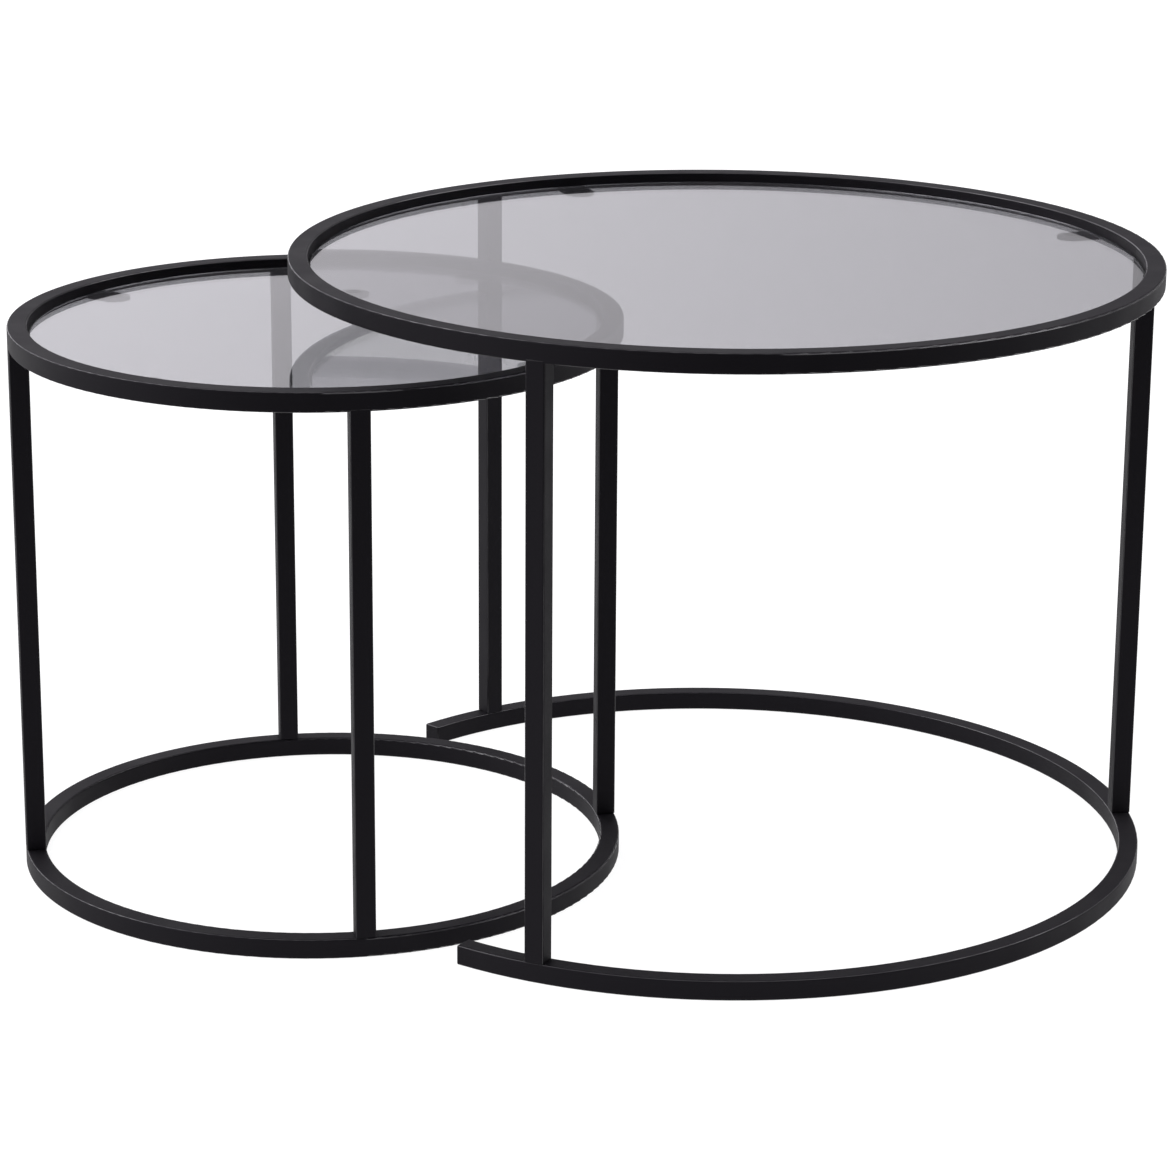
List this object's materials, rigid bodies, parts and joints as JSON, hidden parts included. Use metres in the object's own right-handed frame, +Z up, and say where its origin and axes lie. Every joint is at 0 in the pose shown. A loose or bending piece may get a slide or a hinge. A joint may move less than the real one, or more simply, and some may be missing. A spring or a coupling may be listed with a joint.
{
  "type": "nesting tables",
  "caption": "Round nest of side tables in black square steel tube with drop-in smoked glass tops; the lower one slides under the taller through its open base.",
  "frame": {"origin": "middle of the footprint of both tables on the floor, as they stand part nested", "axes": "+X along the slide path, from the open end of the large base towards its right leg; +Y to the back; +Z up"},
  "size_m": [0.9225, 0.7, 0.5],
  "materials": {
    "black_powder_coat": "satin black powder coat",
    "smoke_glass": "clear polished grey float glass",
    "silicone_pad": "matte silicone",
    "zinc_steel": "bright zinc plate",
    "plug_plastic": "fine matte moulding"
  },
  "bodies": {
    "large_frame": {"large_base_arc": "black_powder_coat", "large_base_cap_back": "black_powder_coat", "large_base_cap_front": "black_powder_coat", "large_base_plug_back": "plug_plastic", "large_base_plug_front": "plug_plastic", "large_base_plug_right": "plug_plastic", "large_glass_pad_1": "silicone_pad", "large_glass_pad_2": "silicone_pad", "large_glass_pad_3": "silicone_pad", "large_glass_pad_4": "silicone_pad", "large_glass_tab_1": "black_powder_coat", "large_glass_tab_2": "black_powder_coat", "large_glass_tab_3": "black_powder_coat", "large_glass_tab_4": "black_powder_coat", "large_leg_back": "black_powder_coat", "large_leg_bolt_back": "zinc_steel", "large_leg_bolt_front": "zinc_steel", "large_leg_bolt_right": "zinc_steel", "large_leg_front": "black_powder_coat", "large_leg_insert_back": "zinc_steel", "large_leg_insert_front": "zinc_steel", "large_leg_insert_right": "zinc_steel", "large_leg_right": "black_powder_coat", "large_top_ring": "black_powder_coat"},
    "large_glass": {"large_glass_top": "smoke_glass"},
    "small_frame": {"small_base_plug_back": "plug_plastic", "small_base_plug_front": "plug_plastic", "small_base_plug_left": "plug_plastic", "small_base_plug_right": "plug_plastic", "small_base_ring": "black_powder_coat", "small_glass_pad_1": "silicone_pad", "small_glass_pad_2": "silicone_pad", "small_glass_pad_3": "silicone_pad", "small_glass_pad_4": "silicone_pad", "small_glass_tab_1": "black_powder_coat", "small_glass_tab_2": "black_powder_coat", "small_glass_tab_3": "black_powder_coat", "small_glass_tab_4": "black_powder_coat", "small_leg_back": "black_powder_coat", "small_leg_bolt_back": "zinc_steel", "small_leg_bolt_front": "zinc_steel", "small_leg_bolt_left": "zinc_steel", "small_leg_bolt_right": "zinc_steel", "small_leg_front": "black_powder_coat", "small_leg_insert_back": "zinc_steel", "small_leg_insert_front": "zinc_steel", "small_leg_insert_left": "zinc_steel", "small_leg_insert_right": "zinc_steel", "small_leg_left": "black_powder_coat", "small_leg_right": "black_powder_coat", "small_top_ring": "black_powder_coat"},
    "small_glass": {"small_glass_top": "smoke_glass"}
  },
  "joints": [
    {"name": "small_table_slide", "type": "slide", "parent": "large_frame", "child": "small_frame", "axis": [1, 0, 0], "range_m": [-0.3, 0.4125]},
    {"name": "large_glass_lift", "type": "slide", "parent": "large_frame", "child": "large_glass", "axis": [0, 0, 1], "range_m": [0, 0.06]},
    {"name": "small_glass_lift", "type": "slide", "parent": "small_frame", "child": "small_glass", "axis": [0, 0, 1], "range_m": [0, 0.03]}
  ]
}
